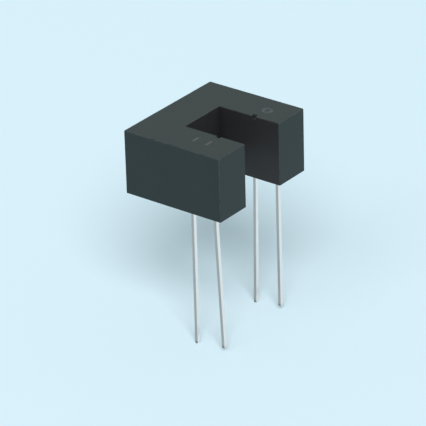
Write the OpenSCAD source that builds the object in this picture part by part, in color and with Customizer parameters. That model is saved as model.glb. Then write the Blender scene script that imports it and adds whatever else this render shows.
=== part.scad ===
// Slotted optical switch: a U-shaped housing holds an emitter and a sensor that face each other
// across a slot, and four stamped leads go down into a circuit board.
// Millimetres. The origin lies on the seat plane, under the beam, midway between the lead rows.
// +X points out of the slot mouth, +Y from the emitter arm to the sensor arm, +Z up.

/* [Housing] */
// Length from the back of the web to the slot mouth
body_length = 10.6; // [10.3:0.1:11.6]
// Width across both arms
body_width = 12.7; // [12.5:0.1:13.5]
// Height above the seat plane
body_height = 6.2; // [6:0.1:7]
// Clear gap between the arms
slot_gap = 5.08; // [4.8:0.02:5.4]
// Depth of the slot, back from its mouth
slot_depth = 6.65; // [6.2:0.05:6.9]
// Chamfer on the moulded edges
edge_break = 0.06; // [0.02:0.02:0.2]
// Wall around the hollows under the web
core_wall = 0.9; // [0.7:0.05:1.05]
// Rib between one hollow and the next
core_rib = 0.8; // [0.6:0.05:1]

/* [Beam] */
// Distance of the beam behind the slot mouth
beam_setback = 3.05; // [2.95:0.05:3.4]
// Height of the beam above the seat plane
beam_height = 3.6; // [3.4:0.05:3.8]
// Width of the notch over each slot wall that shows about where the beam crosses
notch_width = 0.45; // [0.3:0.05:0.8]
// Depth of that notch into its arm
notch_depth = 0.35; // [0.2:0.05:0.5]
// Height of that notch below the top face
notch_height = 0.3; // [0.2:0.05:1]
// Offset of that notch from the beam, towards the slot mouth
notch_offset = 0.25; // [-0.5:0.05:0.5]

/* [Capsules] */
// Length of a capsule along its arm
capsule_length = 4.4; // [4.2:0.1:4.6]
// Thickness of a capsule across its arm
capsule_thickness = 2; // [1.8:0.05:2.1]
// Height of a capsule
capsule_height = 5.1; // [4.9:0.05:5.3]
// Height of a capsule's foot above the seat plane
capsule_foot = 0.3; // [0.2:0.05:0.4]
// Taper of a capsule's sides from its parting plane to its front and back faces
capsule_draft = 0.08; // [0.02:0.02:0.14]
// Diameter of the lens where it leaves the capsule
lens_width = 2.2; // [1.8:0.1:2.4]
// Height of the lens dome
lens_rise = 0.45; // [0.3:0.05:0.5]

/* [Fits] */
// Gap at each end of a capsule in its pocket
pocket_clearance = 0.05; // [0.02:0.01:0.1]
// Gap between the top of the lens and the slot wall
lens_clearance = 0.06; // [0.03:0.01:0.12]
// Gap beside the lens in its channel
channel_clearance = 0.15; // [0.1:0.05:0.3]
// Height of the crush ribs that press a capsule forward
crush_rib_height = 0.1; // [0.06:0.02:0.14]
// Width of a crush rib
crush_rib_width = 0.3; // [0.2:0.05:0.5]
// Distance of each crush rib from the middle of its pocket
crush_rib_offset = 1.3; // [1:0.1:1.6]
// Reach of a staked lip under the foot of a capsule
lip_reach = 0.3; // [0.15:0.05:0.35]
// Width of a staked lip
lip_width = 1.2; // [0.8:0.1:1.6]

/* [Leads] */
// Spacing of the two leads of one arm
lead_pitch = 2.54; // [2.44:0.02:2.64]
// Spacing of the two lead rows
lead_rows = 9.3; // [9.2:0.02:9.4]
// Thickness of the sheet that the leads are stamped from
lead_thickness = 0.38; // [0.3:0.02:0.5]
// Width of a lead below its shoulder
lead_width = 0.3; // [0.25:0.05:0.5]
// Straight stretch below the seat plane, before a lead leans
straight_length = 1.8; // [1:0.1:3]
// Length of the back leads below the seat plane
back_length = 14.2; // [6:0.1:20]
// Length of the front leads below the seat plane
front_length = 13.7; // [6:0.1:20]
// Lean of the emitter's back lead towards the slot mouth, in degrees
emitter_back_lean = 0; // [-3:0.1:3]
// Lean of the emitter's front lead
emitter_front_lean = 2.6; // [-3:0.1:3]
// Lean of the sensor's back lead
sensor_back_lean = -1; // [-3:0.1:3]
// Lean of the sensor's front lead
sensor_front_lean = 0.3; // [-3:0.1:3]
// Bevel at the cut end of a lead
tip_bevel = 0.06; // [0.02:0.02:0.12]
// Height of the shoulder where a lead widens, inside its capsule
shoulder_height = 0.9; // [0.6:0.1:1.4]
// Width of a lead above its shoulder
shoulder_width = 0.6; // [0.5:0.05:0.7]
// Height of the pad that carries a chip
pad_height = 1.4; // [1.1:0.1:1.5]
// Reach of the pad past the beam, towards the other lead
pad_reach = 0.6; // [0.5:0.02:0.66]
// Height of the bond post's top above the seat plane
post_height = 4.1; // [3.95:0.05:4.6]

/* [Chips] */
// Side of the emitter chip
emitter_chip_side = 0.35; // [0.25:0.05:0.5]
// Thickness of the emitter chip
emitter_chip_thickness = 0.2; // [0.15:0.05:0.3]
// Side of the sensor chip
sensor_chip_side = 0.65; // [0.5:0.05:0.8]
// Thickness of the sensor chip
sensor_chip_thickness = 0.25; // [0.15:0.05:0.3]
// Thickness of the paste under a chip
paste_thickness = 0.04; // [0.02:0.01:0.06]
// Border of the paste around a chip
paste_border = 0.06; // [0.02:0.02:0.08]
// Diameter of the bond wire
bond_width = 0.05; // [0.03:0.01:0.06]
// Rise of the bond wire's loop over the line between its ends
bond_rise = 0.28; // [0.2:0.02:0.34]
// Diameter of the ball that joins the wire to its chip
ball_width = 0.14; // [0.12:0.02:0.2]
// Height of that ball
ball_height = 0.08; // [0.06:0.01:0.1]

/* [Hidden] */
$fn = 64;
// Overshoot of a cutter past the faces that it opens
over = 1;
mouth_x = beam_setback;
back_x = mouth_x - body_length;
slot_back_x = mouth_x - slot_depth;
capsule_top = capsule_foot + capsule_height;
pocket_length = capsule_length + 2 * pocket_clearance;
channel_width = lens_width + 2 * channel_clearance;
// Distances from a lead row towards the slot
lens_top_y = capsule_thickness / 2 + lens_rise;
channel_end_y = lens_top_y + lens_clearance;
slot_wall_y = (lead_rows - slot_gap) / 2;
chip_base_y = lead_thickness / 2 + paste_thickness;
lens_radius = (pow(lens_width / 2, 2) + pow(lens_rise, 2)) / (2 * lens_rise);
front_x = lead_pitch / 2;
rear_x = -lead_pitch / 2;

// Places a piece in the emitter arm, where +Y points to the slot
module in_emitter_arm() {
    translate([0, -lead_rows / 2, 0]) children();
}

module in_sensor_arm() {
    mirror([0, 1, 0]) in_emitter_arm() children();
}

// A box given by its lowest and highest corners
module span(low, high) {
    translate(low) cube(high - low);
}

// Plan of the housing with broken corners
module plan(inset) {
    left = back_x + inset;
    right = mouth_x - inset;
    side = body_width / 2 - inset;
    cut = edge_break;
    polygon([
        [left + cut, -side], [right - cut, -side], [right, cut - side], [right, side - cut],
        [right - cut, side], [left + cut, side], [left, side - cut], [left, cut - side]
    ]);
}

module block() {
    hull() {
        linear_extrude(body_height - edge_break) plan(0);
        linear_extrude(body_height) plan(edge_break);
    }
}

// The slot widens at its upper edge and at its mouth by the edge break
module slot_cut() {
    side = slot_gap / 2;
    length = slot_depth + over;
    flare = edge_break + over;
    widening = [1 + 2 * flare / length, 1 + 2 * flare / slot_gap];
    span([slot_back_x, -side, -over], [mouth_x + over, side, body_height]);
    translate([slot_back_x + length / 2, 0, body_height - edge_break])
        linear_extrude(flare, scale = widening, slices = 1, $fn = 4)
            square([length, slot_gap], center = true);
    translate([0, 0, -over])
        linear_extrude(body_height + 2 * over)
            polygon([
                [mouth_x - edge_break, -side], [mouth_x + over, -side - flare],
                [mouth_x + over, side + flare], [mouth_x - edge_break, side]
            ]);
}

// Hollows that open downward and keep the web and the arm roots at an even wall
module core_cuts() {
    low_x = back_x + core_wall;
    top = body_height - core_wall;
    inner_y = slot_gap / 2 + core_wall;
    outer_y = body_width / 2 - core_wall;
    middle_y = inner_y - core_rib;
    span([low_x, -middle_y, -over], [slot_back_x - core_wall, middle_y, top]);
    for (side = [0, 1])
        mirror([0, side, 0])
            span([low_x, inner_y, -over], [-pocket_length / 2 - core_wall, outer_y, top]);
}

// Pocket, lens channel and notch of one arm; the beam passes through the thin wall that is left
module arm_cuts() {
    half = pocket_length / 2;
    front_y = capsule_thickness / 2;
    rear_y = -front_y - crush_rib_height;
    difference() {
        span([-half, rear_y, -over], [half, front_y, capsule_top]);
        for (x = [-crush_rib_offset, crush_rib_offset])
            span(
                [x - crush_rib_width / 2, rear_y - over, capsule_foot],
                [x + crush_rib_width / 2, -front_y, capsule_top + over]
            );
        for (side = [0, 1])
            mirror([side, 0, 0])
                span([half - lip_reach, -lip_width / 2, 0], [half + over, lip_width / 2, capsule_foot]);
    }
    span(
        [-channel_width / 2, 0, -over],
        [channel_width / 2, channel_end_y, beam_height + channel_width / 2]
    );
    span(
        [notch_offset - notch_width / 2, slot_wall_y - notch_depth, body_height - notch_height],
        [notch_offset + notch_width / 2, slot_wall_y + over, body_height + over]
    );
}

module housing() {
    color([0.24, 0.27, 0.28])
        difference() {
            block();
            slot_cut();
            core_cuts();
            in_emitter_arm() arm_cuts();
            in_sensor_arm() arm_cuts();
        }
}

// A point on a leg that leans below its straight stretch, from distances across and along it
function on_leg(across, along, lean) = [
    along * sin(lean) + across * cos(lean),
    across * sin(lean) - along * cos(lean) - straight_length
];

// One edge of a leg from its shoulder to its tip, mitred where the lean starts
function leg_edge(side, length, lean) =
    let (across = side * lead_width / 2, end = (length - straight_length) / cos(lean)) [
        [across, shoulder_height],
        [across, across * tan(lean / 2) - straight_length],
        on_leg(across, end - tip_bevel, lean),
        on_leg(across - side * tip_bevel, end, lean)
    ];

function reversed(points) = [for (i = [len(points) - 1:-1:0]) points[i]];

// A lead stamped from sheet: the head's outline is given from its left shoulder to its right one
module stamped_lead(head, length, lean) {
    color([0.78, 0.79, 0.8])
        rotate([90, 0, 0])
            linear_extrude(lead_thickness, center = true)
                polygon(concat(head, leg_edge(1, length, lean), reversed(leg_edge(-1, length, lean))));
}

// Lead with the pad that carries the chip
module die_lead(lean = 0) {
    half = shoulder_width / 2;
    reach = front_x + pad_reach;
    low = beam_height - pad_height / 2;
    high = beam_height + pad_height / 2;
    head = [
        [-half, shoulder_height], [-half, low], [-reach, low], [-reach, high],
        [half, high], [half, shoulder_height]
    ];
    translate([front_x, 0, 0]) stamped_lead(head, front_length, lean);
}

// Lead with the post that takes the bond wire
module wire_lead(lean = 0) {
    half = shoulder_width / 2;
    head = [[-half, shoulder_height], [-half, post_height], [half, post_height], [half, shoulder_height]];
    translate([rear_x, 0, 0]) stamped_lead(head, back_length, lean);
}

// A square layer on the pad, from one distance off the lead row to another
module layer(side, from_y, to_y) {
    span(
        [-side / 2, from_y, beam_height - side / 2],
        [side / 2, to_y, beam_height + side / 2]
    );
}

module paste(chip_side) {
    color([0.66, 0.66, 0.64])
        layer(chip_side + 2 * paste_border, lead_thickness / 2, chip_base_y);
}

module chip(side, thickness) {
    color([0.2, 0.18, 0.24])
        layer(side, chip_base_y, chip_base_y + thickness);
}

// An arc from the ball on the chip to the face of the post
module bond_wire(chip_thickness) {
    chip_top = chip_base_y + chip_thickness;
    start = [0, chip_top + ball_height / 2];
    finish = [rear_x, lead_thickness / 2];
    chord = norm(finish - start);
    radius = (pow(chord / 2, 2) + pow(bond_rise, 2)) / (2 * bond_rise);
    half_turn = asin(chord / (2 * radius));
    slope = atan2(start.y - finish.y, start.x - finish.x);
    middle = (start + finish) / 2;
    // Extra turn that carries the arc into the post, where it is cut flush
    extra = asin(2 * bond_width / radius);
    color([0.9, 0.72, 0.3]) {
        difference() {
            translate([middle.x, middle.y, beam_height])
                rotate(slope)
                    translate([0, bond_rise - radius, 0])
                        rotate(90 - half_turn)
                            rotate_extrude(angle = 2 * half_turn + extra)
                                translate([radius, 0]) circle(d = bond_width);
            wire_lead();
        }
        translate([0, chip_top, beam_height])
            rotate([-90, 0, 0])
                cylinder(d = ball_width, h = ball_height);
    }
}

// Section of a capsule, widest at its parting plane on the lead row
module drafted_section(width) {
    middle = width / 2;
    end = middle - capsule_draft;
    face_y = capsule_thickness / 2;
    polygon([
        [-end, -face_y], [end, -face_y], [middle, 0], [end, face_y], [-end, face_y], [-middle, 0]
    ]);
}

// A drafted block with a lens dome towards the slot
module capsule_body() {
    intersection() {
        translate([0, 0, capsule_foot])
            linear_extrude(capsule_height) drafted_section(capsule_length);
        translate([0, 0, capsule_foot + capsule_height / 2])
            rotate([0, -90, 0])
                linear_extrude(capsule_length, center = true) drafted_section(capsule_height);
    }
    intersection() {
        translate([0, lens_top_y - lens_radius, beam_height]) sphere(r = lens_radius);
        span(
            [-lens_width, 0, beam_height - lens_width],
            [lens_width, lens_top_y + over, beam_height + lens_width]
        );
    }
}

// The resin is moulded around everything that it holds
module capsule(tint, chip_side, chip_thickness) {
    color(tint)
        difference() {
            capsule_body();
            die_lead();
            wire_lead();
            paste(chip_side);
            chip(chip_side, chip_thickness);
            bond_wire(chip_thickness);
        }
}

module emitter_capsule() {
    in_emitter_arm() capsule([0.72, 0.8, 0.9], emitter_chip_side, emitter_chip_thickness);
}

module emitter_die_lead() {
    in_emitter_arm() die_lead(emitter_front_lean);
}

module emitter_wire_lead() {
    in_emitter_arm() wire_lead(emitter_back_lean);
}

module emitter_chip() {
    in_emitter_arm() chip(emitter_chip_side, emitter_chip_thickness);
}

module emitter_paste() {
    in_emitter_arm() paste(emitter_chip_side);
}

module emitter_bond_wire() {
    in_emitter_arm() bond_wire(emitter_chip_thickness);
}

module sensor_capsule() {
    in_sensor_arm() capsule([0.16, 0.12, 0.16], sensor_chip_side, sensor_chip_thickness);
}

module sensor_die_lead() {
    in_sensor_arm() die_lead(sensor_front_lean);
}

module sensor_wire_lead() {
    in_sensor_arm() wire_lead(sensor_back_lean);
}

module sensor_chip() {
    in_sensor_arm() chip(sensor_chip_side, sensor_chip_thickness);
}

module sensor_paste() {
    in_sensor_arm() paste(sensor_chip_side);
}

module sensor_bond_wire() {
    in_sensor_arm() bond_wire(sensor_chip_thickness);
}

housing();
emitter_capsule();
emitter_die_lead();
emitter_wire_lead();
emitter_chip();
emitter_paste();
emitter_bond_wire();
sensor_capsule();
sensor_die_lead();
sensor_wire_lead();
sensor_chip();
sensor_paste();
sensor_bond_wire();
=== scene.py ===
import math
import bpy
import bmesh
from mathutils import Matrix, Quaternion, Vector


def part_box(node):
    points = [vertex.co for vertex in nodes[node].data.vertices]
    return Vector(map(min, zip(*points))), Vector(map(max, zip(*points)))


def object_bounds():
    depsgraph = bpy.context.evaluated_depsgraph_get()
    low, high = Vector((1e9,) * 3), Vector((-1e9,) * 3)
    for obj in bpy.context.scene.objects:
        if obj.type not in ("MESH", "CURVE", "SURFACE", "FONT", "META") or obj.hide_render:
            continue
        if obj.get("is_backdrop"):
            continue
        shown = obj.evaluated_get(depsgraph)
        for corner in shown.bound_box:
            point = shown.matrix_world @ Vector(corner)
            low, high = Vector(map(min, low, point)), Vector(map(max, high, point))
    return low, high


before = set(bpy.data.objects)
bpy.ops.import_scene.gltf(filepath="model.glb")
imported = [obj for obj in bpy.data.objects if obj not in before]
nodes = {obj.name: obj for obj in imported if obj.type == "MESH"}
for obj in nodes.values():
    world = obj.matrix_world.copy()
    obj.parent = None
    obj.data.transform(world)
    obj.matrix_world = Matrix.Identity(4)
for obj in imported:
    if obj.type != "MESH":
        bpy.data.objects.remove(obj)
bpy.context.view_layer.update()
mm = 0.001
print("frame:", len(nodes), "nodes")


# one output socket, so that shader maths reads as plain expressions
class Value:
    def __init__(self, finish, socket):
        self.finish = finish
        self.socket = socket

    def maths(self, operation, first, second=0.0, clamp=False):
        settings = {"operation": operation, "use_clamp": clamp}
        return self.finish.add("ShaderNodeMath", settings, {0: first, 1: second})

    def __add__(self, other):
        return self.maths("ADD", self, other)

    def __sub__(self, other):
        return self.maths("SUBTRACT", self, other)

    def __rsub__(self, other):
        return self.maths("SUBTRACT", other, self)

    def __mul__(self, other):
        return self.maths("MULTIPLY", self, other)

    def __truediv__(self, other):
        return self.maths("DIVIDE", self, other)

    def __rtruediv__(self, other):
        return self.maths("DIVIDE", other, self)

    def __abs__(self):
        return self.maths("ABSOLUTE", self)

    __radd__ = __add__
    __rmul__ = __mul__

    def most(self, other):
        return self.maths("MAXIMUM", self, other)

    def clamped(self):
        return self.maths("ADD", self, 0.0, clamp=True)

    # 1 between two limits, with a short slope at both
    def between(self, low, high, slope=40):
        return ((self - low) * slope).clamped() * ((high - self) * slope).clamped()

    # noise turned into a swing to both sides of 0
    def swing(self, reach, middle=0.5):
        return (self - middle) * reach


# one material, built node by node
class Finish:
    def __init__(self, name):
        self.material = bpy.data.materials.new(name)
        self.material.use_nodes = True
        self.tree = self.material.node_tree
        self.tree.nodes.clear()

    def add(self, kind, settings=None, inputs=None, output=0):
        made = self.tree.nodes.new(kind)
        for key, value in (settings or {}).items():
            setattr(made, key, value)
        for key, value in (inputs or {}).items():
            if isinstance(value, Value):
                self.tree.links.new(value.socket, made.inputs[key])
            else:
                made.inputs[key].default_value = value
        return Value(self, made.outputs[output]) if made.outputs else None

    # place on the part in millimetres, stretched along each axis as asked
    def place(self, stretch=(1, 1, 1)):
        here = self.add("ShaderNodeTexCoord", output="Object")
        scale = [amount / mm for amount in stretch]
        return self.add("ShaderNodeVectorMath", {"operation": "MULTIPLY"}, {0: here, 1: scale})

    def noise(self, scale, detail=2.0, stretch=(1, 1, 1)):
        inputs = {"Vector": self.place(stretch), "Scale": scale, "Detail": detail}
        return self.add("ShaderNodeTexNoise", None, inputs)

    def split(self, vector):
        return [self.add("ShaderNodeSeparateXYZ", None, {0: vector}, axis) for axis in "XYZ"]

    # 0 on faces square to the axes, 1 on the slanted faces of broken edges
    def slant(self, slope=3.4):
        x, y, z = self.split(self.add("ShaderNodeNewGeometry", output="True Normal"))
        square = abs(x).most(abs(y)).most(abs(z))
        return ((1 - square) * slope).clamped()

    def blend(self, amount, first, second):
        inputs = {0: amount, 6: first, 7: second}  # 6, 7 and output 2 are the colour sockets
        return self.add("ShaderNodeMix", {"data_type": "RGBA"}, inputs, output=2)

    def bump(self, height, strength, depth):
        inputs = {"Height": height, "Strength": strength, "Distance": depth * mm}
        return self.add("ShaderNodeBump", None, inputs)

    def surface(self, inputs):
        return self.show(self.add("ShaderNodeBsdfPrincipled", None, inputs))

    def show(self, shader):
        self.add("ShaderNodeOutputMaterial", None, {"Surface": shader})
        return self.material


def dress(names, material):
    for name in names:
        mesh = nodes[name].data
        mesh.materials.clear()
        mesh.materials.append(material)


# the housing: black moulded plastic with a fine grain, its edges lighter in patches, partly rubbed
# and partly a painted highlight, a warmer black on the thin walls of the slot, and a lighter tone
# in what is sunk into the arms, partly dust and partly painted light
housingLook = {
    "dark": (0.033, 0.0425, 0.0425, 1),
    "light": (0.038, 0.0485, 0.0485, 1),
    "slotDark": (0.0415, 0.0385, 0.040, 1),
    "slotLight": (0.0475, 0.044, 0.046, 1),
    # painted highlight on the chamfered edges, partly rub as well
    "rubAndHighlightTone": (0.085, 0.103, 0.103, 1),
    # a lighter tone in what is sunk: partly dust, partly painted light that lifts the shade in the
    # notch and stands in for the highlights of the marks
    "dustAndPaintedLight": (0.076, 0.091, 0.093, 1),
    "roughness": 0.31,
    "shine": 0.15,
    "grainSize": 0.06,  # sizes and depths in millimetres
    "grainDepth": 0.003,
    "grainBump": 0.4,
    "grainTone": 0.35,  # the grain's share of the tone, the rest is flow
    "grainGloss": 0.08,  # how far each pattern moves the roughness
    "flowGloss": 0.06,
    "rubGloss": 0.05,
    "flowSize": 2.0,
    "flowStretch": (1, 1, 0.6),
    "rubAndHighlightSize": 0.4,
    "rubAndHighlightContrast": 1.6,
    "rubAndHighlightSpared": 0.2,  # so much of the noise leaves an edge as it was
    "slotEnd": -3.6,
    "slotHalf": 2.54,
    "edge": 0.07,
    "dustAndLightDepths": (0.01, 0.25),
}


def mouldedPlastic(look):
    finish = Finish("mouldedPlastic")
    front, side, top = [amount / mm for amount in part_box("housing")[1]]
    x, y, z = finish.split(finish.place())
    edge, slotEnd, slotHalf = look["edge"], look["slotEnd"], look["slotHalf"]
    grain = finish.noise(1 / look["grainSize"], detail=3)
    flow = finish.noise(1 / look["flowSize"], detail=2, stretch=look["flowStretch"])
    patches = finish.noise(1 / look["rubAndHighlightSize"], detail=3) * look["rubAndHighlightContrast"]
    # lighter patches on the edges: partly rub, partly a painted highlight
    rubAndHighlightMask = finish.slant() * (patches - look["rubAndHighlightSpared"]).clamped()
    tone = (grain * look["grainTone"] + flow * (1 - look["grainTone"])).clamped()
    slot = x.between(slotEnd - edge, front + edge) * abs(y).between(-edge, slotHalf + edge)
    # what is sunk into the arms is painted lighter: partly dust, partly painted light against its
    # shade
    dustAndPaintedLight = abs(y).between(slotHalf + edge, side - edge) * x.between(slotEnd, front - edge)
    dustAndPaintedLight = dustAndPaintedLight * (top - z).between(*look["dustAndLightDepths"])
    plain = finish.blend(tone, look["dark"], look["light"])
    inSlot = finish.blend(tone, look["slotDark"], look["slotLight"])
    # here the edges get the painted highlight
    worn = finish.blend(rubAndHighlightMask, finish.blend(slot, plain, inSlot), look["rubAndHighlightTone"])
    gloss = grain.swing(look["grainGloss"]) + flow.swing(look["flowGloss"]) + rubAndHighlightMask * look["rubGloss"]
    return finish.surface({
        "Base Color": finish.blend(dustAndPaintedLight, worn, look["dustAndPaintedLight"]),
        "Roughness": look["roughness"] + gloss,
        "Specular IOR Level": look["shine"],
        "Normal": finish.bump(grain, look["grainBump"], look["grainDepth"]),
    })


dress(["housing"], mouldedPlastic(housingLook))
print("housing plastic done")

# edges a little softer than the chamfers that the mould leaves
edgeSizes = {
    "joined": 0.0005,  # the frame's faces come apart at their edges, corners this near are joined
    "flat": 0.1,  # faces within this angle become one
    "sharp": 25,  # edges over this angle are rounded
    "width": 0.02,
    "segments": 2,
}


# a cut or a bevel needs the faces joined
def joinFaces(piece, sizes):
    weld = piece.modifiers.new("weld", "WELD")
    weld.merge_threshold = sizes["joined"] * mm


def softenEdges(piece, sizes):
    flat = piece.modifiers.new("flat", "DECIMATE")
    flat.decimate_type = "DISSOLVE"
    flat.angle_limit = math.radians(sizes["flat"])
    edge = piece.modifiers.new("edge", "BEVEL")
    edge.width = sizes["width"] * mm
    edge.segments = sizes["segments"]
    edge.limit_method = "ANGLE"
    edge.angle_limit = math.radians(sizes["sharp"])
    edge.harden_normals = True


# sunk marks that tell the two arms apart: two bars on one, a ring on the other
markSizes = {
    "barPlaces": [(-1.15, -4.15), (0.3, -4.15)],
    "barLength": 0.75,
    "ringPlace": (0.55, 4.25),
    "ringAcross": 0.8,
    "grooveWidth": 0.34,
    "grooveDepth": 0.08,
}


# a round tube along level points, as a hidden cutter
def tubeCutter(name, points, radii, closed, sides=24):
    shape = bmesh.new()
    rings = []
    count = len(points)
    upright = Vector((0, 0, 1))
    turns = [2 * math.pi * step / sides for step in range(sides)]
    for index, (point, radius) in enumerate(zip(points, radii)):
        before = points[index - 1] if closed or index else point
        after = points[(index + 1) % count] if closed or index < count - 1 else point
        across = (after - before).normalized().cross(upright)
        spokes = [across * math.cos(turn) + upright * math.sin(turn) for turn in turns]
        rings.append([shape.verts.new((point + radius * spoke) * mm) for spoke in spokes])
    for index in range(count if closed else count - 1):
        here, there = rings[index], rings[(index + 1) % count]
        for step in range(sides):
            after = (step + 1) % sides
            shape.faces.new((here[step], here[after], there[after], there[step])).smooth = True
    if not closed:
        shape.faces.new(rings[0][::-1])
        shape.faces.new(rings[-1])
    bmesh.ops.recalc_face_normals(shape, faces=shape.faces)
    mesh = bpy.data.meshes.new(name)
    shape.to_mesh(mesh)
    shape.free()
    cutter = bpy.data.objects.new(name, mesh)
    bpy.context.scene.collection.objects.link(cutter)
    cutter.hide_render = True
    cutter.hide_viewport = True
    return cutter


def barCutter(name, place, length, radius, height, steps=8):
    points, radii = [], []
    for end in (-1, 1):
        for step in range(steps):
            turn = math.pi / 2 * (step + 0.5) / steps
            turn = turn if end < 0 else math.pi / 2 - turn
            reach = end * (length / 2 + radius * math.cos(turn))
            points.append(Vector((place[0], place[1] + reach, height)))
            radii.append(radius * math.sin(turn))
    return tubeCutter(name, points, radii, closed=False)


def ringCutter(name, place, across, radius, height, count=64):
    points = []
    for step in range(count):
        turn = 2 * math.pi * step / count
        x, y = across / 2 * math.cos(turn), across / 2 * math.sin(turn)
        points.append(Vector((place[0] + x, place[1] + y, height)))
    return tubeCutter(name, points, [radius] * count, closed=True)


def sinkMarks(piece, sizes):
    width, depth = sizes["grooveWidth"], sizes["grooveDepth"]
    radius = (width ** 2 / 4 + depth ** 2) / (2 * depth)
    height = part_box("housing")[1].z / mm + radius - depth
    cutters = [ringCutter("ringCutter", sizes["ringPlace"], sizes["ringAcross"], radius, height)]
    for index, place in enumerate(sizes["barPlaces"]):
        cutters.append(barCutter("barCutter%d" % index, place, sizes["barLength"], radius, height))
    for cutter in cutters:
        cut = piece.modifiers.new(cutter.name, "BOOLEAN")
        cut.operation = "DIFFERENCE"
        cut.solver = "EXACT"
        cut.object = cutter


joinFaces(nodes["housing"], edgeSizes)
sinkMarks(nodes["housing"], markSizes)
softenEdges(nodes["housing"], edgeSizes)
print("marks and edges done")

# the leads, stamped from sheet: the rolled faces painted dull as shade and the sheared sides
# painted bright as a highlight, far beyond the real difference in their finish, and dark at the cut
# tips
leadLook = {
    # painted shade: the rolled faces darker than their finish alone makes them
    "shadedRolled": (0.435, 0.398, 0.384, 1),
    "shadedRolledWorn": (0.49, 0.453, 0.435, 1),
    # painted highlight: the sheared sides brighter than their finish alone makes them
    "highlitSheared": (1.0, 0.895, 0.845, 1),
    "highlitShearedWorn": (0.98, 0.86, 0.815, 1),
    "cut": (0.16, 0.15, 0.14, 1),
    "roughness": 0.26,
    "streakScale": 9,  # streaks and spots to the millimetre
    "streakStretch": (1, 1, 0.05),
    "streakDepth": 0.004,
    "streakBump": 0.25,
    "streakTone": 0.6,  # the streaks' share of the wear, the rest is mottle
    "mottleScale": 2.2,
    "streakGloss": 0.15,  # how far each moves the roughness
    "cutGloss": 0.2,
    "shearedGloss": 0.1,
    "shearedFrom": 0.4,  # how far a face turns to the side before it counts as sheared
    "shearedSlope": 5,
    "cutLength": 0.3,
    "cutSpared": 0.8,  # so much of the dark tip leaves the sheared sides
}


def tinnedSheet(name, tipHeight, look):
    finish = Finish(name)
    streak = finish.noise(look["streakScale"], detail=3, stretch=look["streakStretch"])
    mottle = finish.noise(look["mottleScale"], detail=2)
    worn = (streak * look["streakTone"] + mottle * (1 - look["streakTone"])).clamped()
    across = abs(finish.split(finish.add("ShaderNodeTexCoord", output="Normal"))[0])
    # 1 on the sheared sides, which carry the painted highlight, 0 on the rolled faces, which carry
    # the painted shade
    side = ((across - look["shearedFrom"]) * look["shearedSlope"]).clamped()
    height = finish.split(finish.place())[2]
    cut = (1 - (height - tipHeight) / look["cutLength"]).clamped()
    cut = cut * (1 - side * look["cutSpared"])
    # lit and shaded copies of the tin
    shadedRolled = finish.blend(worn, look["shadedRolled"], look["shadedRolledWorn"])
    highlitSheared = finish.blend(worn, look["highlitSheared"], look["highlitShearedWorn"])
    gloss = streak.swing(look["streakGloss"]) + cut * look["cutGloss"] - side * look["shearedGloss"]
    return finish.surface({
        "Base Color": finish.blend(cut, finish.blend(side, shadedRolled, highlitSheared), look["cut"]),
        "Metallic": 1.0,
        "Roughness": look["roughness"] + gloss,
        "Normal": finish.bump(streak, look["streakBump"], look["streakDepth"]),
    })


for kind in ("die", "wire"):
    leads = [side + "_" + kind + "_lead" for side in ("emitter", "sensor")]
    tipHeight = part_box(leads[0])[0].z / mm
    dress(leads, tinnedSheet(kind + "LeadTin", tipHeight, leadLook))
    for lead in leads:
        joinFaces(nodes[lead], edgeSizes)
        softenEdges(nodes[lead], edgeSizes)
print("leads done")

# the resin capsules: clear on the emitter, dark on the sensor
resinLook = {
    "emitter_capsule": {
        "tint": (0.80, 0.86, 0.92, 1), "deep": (0.74, 0.80, 0.88, 1), "clear": 0.85,
    },
    "sensor_capsule": {
        "tint": (0.020, 0.014, 0.018, 1), "deep": (0.012, 0.009, 0.012, 1), "clear": 0.0,
    },
    "both": {
        "swirlScale": 0.8, "grainScale": 12, "grainDepth": 0.002, "grainBump": 0.2,
        "roughness": 0.14, "grainGloss": 0.10, "refraction": 1.55,
    },
}


def mouldedResin(name, own, both):
    finish = Finish(name)
    swirl = finish.noise(both["swirlScale"], detail=2)
    grain = finish.noise(both["grainScale"], detail=2)
    return finish.surface({
        "Base Color": finish.blend(swirl, own["deep"], own["tint"]),
        "Roughness": both["roughness"] + grain * both["grainGloss"],
        "IOR": both["refraction"],
        "Transmission Weight": own["clear"],
        "Normal": finish.bump(grain, both["grainBump"], both["grainDepth"]),
    })


for side in ("emitter", "sensor"):
    capsule = side + "_capsule"
    dress([capsule], mouldedResin(side + "Resin", resinLook[capsule], resinLook["both"]))

# what the resin holds: chips, paste and bond wires
innerLook = {
    "chip": {
        "dark": (0.05, 0.045, 0.07, 1), "light": (0.09, 0.08, 0.12, 1),
        "metal": 0.3, "roughness": 0.15, "speckSize": 0.08,
    },
    "paste": {
        "dark": (0.36, 0.36, 0.34, 1), "light": (0.58, 0.58, 0.55, 1),
        "metal": 0.5, "roughness": 0.5, "speckSize": 0.03,
    },
    "bond_wire": {
        "dark": (0.78, 0.52, 0.17, 1), "light": (0.92, 0.66, 0.26, 1),
        "metal": 1.0, "roughness": 0.22, "speckSize": 0.05,
    },
    "all": {"speckGloss": 0.1, "speckBump": 0.2, "speckDepth": 0.002},
}


def innerFinish(name, own, shared):
    finish = Finish(name)
    speck = finish.noise(1 / own["speckSize"], detail=3)
    return finish.surface({
        "Base Color": finish.blend(speck, own["dark"], own["light"]),
        "Metallic": own["metal"],
        "Roughness": own["roughness"] + speck.swing(shared["speckGloss"]),
        "Normal": finish.bump(speck, shared["speckBump"], shared["speckDepth"]),
    })


for kind, name in (("chip", "chip"), ("paste", "paste"), ("bond_wire", "bondWire")):
    pair = [side + "_" + kind for side in ("emitter", "sensor")]
    dress(pair, innerFinish(name, innerLook[kind], innerLook["all"]))
print("capsules and chips done")

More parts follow.
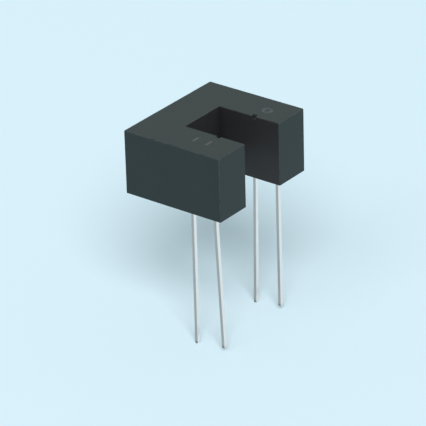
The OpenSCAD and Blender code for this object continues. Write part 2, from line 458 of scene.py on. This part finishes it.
# the floor, just under the longest leads: lit, so that it keeps the shadow, and a little even
floorLook = {
    "near": (0.685, 0.85, 0.93, 1),
    "far": (0.705, 0.86, 0.94, 1),
    "toneScale": 0.01,
    "glow": (0.715, 0.88, 0.963, 1),
    "even": 0.1,
    "roughness": 0.8,
    "shine": 0.1,
    "side": 3.0,
}


def layFloor(look):
    half = look["side"] / 2
    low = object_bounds()[0].z
    corners = [(-half, -half, low), (half, -half, low), (half, half, low), (-half, half, low)]
    mesh = bpy.data.meshes.new("floor")
    mesh.from_pydata(corners, [], [(0, 1, 2, 3)])
    floor = bpy.data.objects.new("floor", mesh)
    bpy.context.scene.collection.objects.link(floor)
    finish = Finish("paleFloor")
    tone = finish.noise(look["toneScale"], detail=1)
    lit = finish.add("ShaderNodeBsdfPrincipled", None, {
        "Base Color": finish.blend(tone, look["near"], look["far"]),
        "Roughness": look["roughness"],
        "Specular IOR Level": look["shine"],
    })
    even = finish.add("ShaderNodeEmission", None, {"Color": look["glow"], "Strength": 1.0})
    rays = ("Is Camera Ray", "Is Glossy Ray", "Is Transmission Ray")
    camera, glossy, through = [finish.add("ShaderNodeLightPath", output=ray) for ray in rays]
    seen = (camera + glossy + through).clamped() * look["even"]
    above = finish.add("ShaderNodeMixShader", None, {0: seen, 1: lit, 2: even})
    below = finish.add("ShaderNodeBsdfTransparent")  # the underside of the part shows from below
    back = finish.add("ShaderNodeNewGeometry", output="Backfacing")
    both = finish.add("ShaderNodeMixShader", None, {0: back, 1: above, 2: below})
    mesh.materials.append(finish.show(both))
    floor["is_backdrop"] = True
    return floor


floor = layFloor(floorLook)

# soft light: an even cool sky, a wide key almost overhead, a panel behind that the top face
# mirrors, a weak one in front that reaches into the slot, and a lamp for the floor alone,
# which lays the part's soft shadow behind its leads
lightLook = {
    "sky": (0.86, 0.98, 1.0, 1),
    "skyStrength": 0.36,
    "lamps": {
        "key": {
            "kind": "SUN", "azimuth": 85, "height": 72, "energy": 1.9, "spread": 70,
            "floor": "EXCLUDE",  # lights all but the floor
        },
        "back": {
            "kind": "AREA", "azimuth": 128, "height": 27, "energy": 0.12, "size": 0.6,
            "away": 1.0, "tint": (0.84, 1.0, 1.0),
        },
        "front": {
            "kind": "AREA", "azimuth": -90, "height": 45, "energy": 1.3, "size": 0.4,
            "away": 0.9,
        },
        "shade": {
            "kind": "SUN", "azimuth": -50, "height": 43, "energy": 2.65, "spread": 30,
            "floor": "INCLUDE",  # lights the floor alone
        },
    },
}


def lightScene(look, floor):
    world = bpy.data.worlds.new("sky")
    world.use_nodes = True
    bpy.context.scene.world = world
    background = world.node_tree.nodes["Background"]
    background.inputs["Color"].default_value = look["sky"]
    background.inputs["Strength"].default_value = look["skyStrength"]
    for name, settings in look["lamps"].items():
        lamp = bpy.data.lights.new(name, settings["kind"])
        lamp.energy = settings["energy"]
        lamp.color = settings.get("tint", (1, 1, 1))
        if settings["kind"] == "SUN":
            lamp.angle = math.radians(settings["spread"])
        else:
            lamp.size = settings["size"]
        around, up = math.radians(settings["azimuth"]), math.radians(settings["height"])
        level = Vector((math.cos(around), math.sin(around), 0))
        towards = level * math.cos(up) + Vector((0, 0, math.sin(up)))
        lampObject = bpy.data.objects.new(name, lamp)
        lampObject.location = towards * settings.get("away", 1.0)
        lampObject.rotation_euler = (-towards).to_track_quat("-Z", "Y").to_euler()
        bpy.context.scene.collection.objects.link(lampObject)
        if "floor" in settings:
            receivers = bpy.data.collections.new(name + "Receivers")
            receivers.objects.link(floor)
            receivers.collection_objects[0].light_linking.link_state = settings["floor"]
            lampObject.light_linking.receiver_collection = receivers


lightScene(lightLook, floor)
print("floor and light done")

# a long lens from above the near corner, rolled a little
cameraLook = {
    "place": (0.15377, -0.20121, 0.12618),
    "aim": (-0.00107, -0.00209, -0.00198),
    "roll": -1.638,
    "lens": 265.8,
    "filmWidth": 36,
    "nearest": 0.01,
}


def setCamera(look):
    camera = bpy.data.cameras.new("camera")
    camera.lens = look["lens"]
    camera.sensor_width = look["filmWidth"]
    camera.clip_start = look["nearest"]
    cameraObject = bpy.data.objects.new("camera", camera)
    towards = Vector(look["aim"]) - Vector(look["place"])
    roll = Quaternion((0, 0, 1), math.radians(look["roll"]))
    cameraObject.location = look["place"]
    cameraObject.rotation_euler = (towards.to_track_quat("-Z", "Y") @ roll).to_euler()
    bpy.context.scene.collection.objects.link(cameraObject)
    bpy.context.scene.camera = cameraObject


setCamera(cameraLook)
bpy.context.scene.view_settings.view_transform = "Standard"
print("camera done")
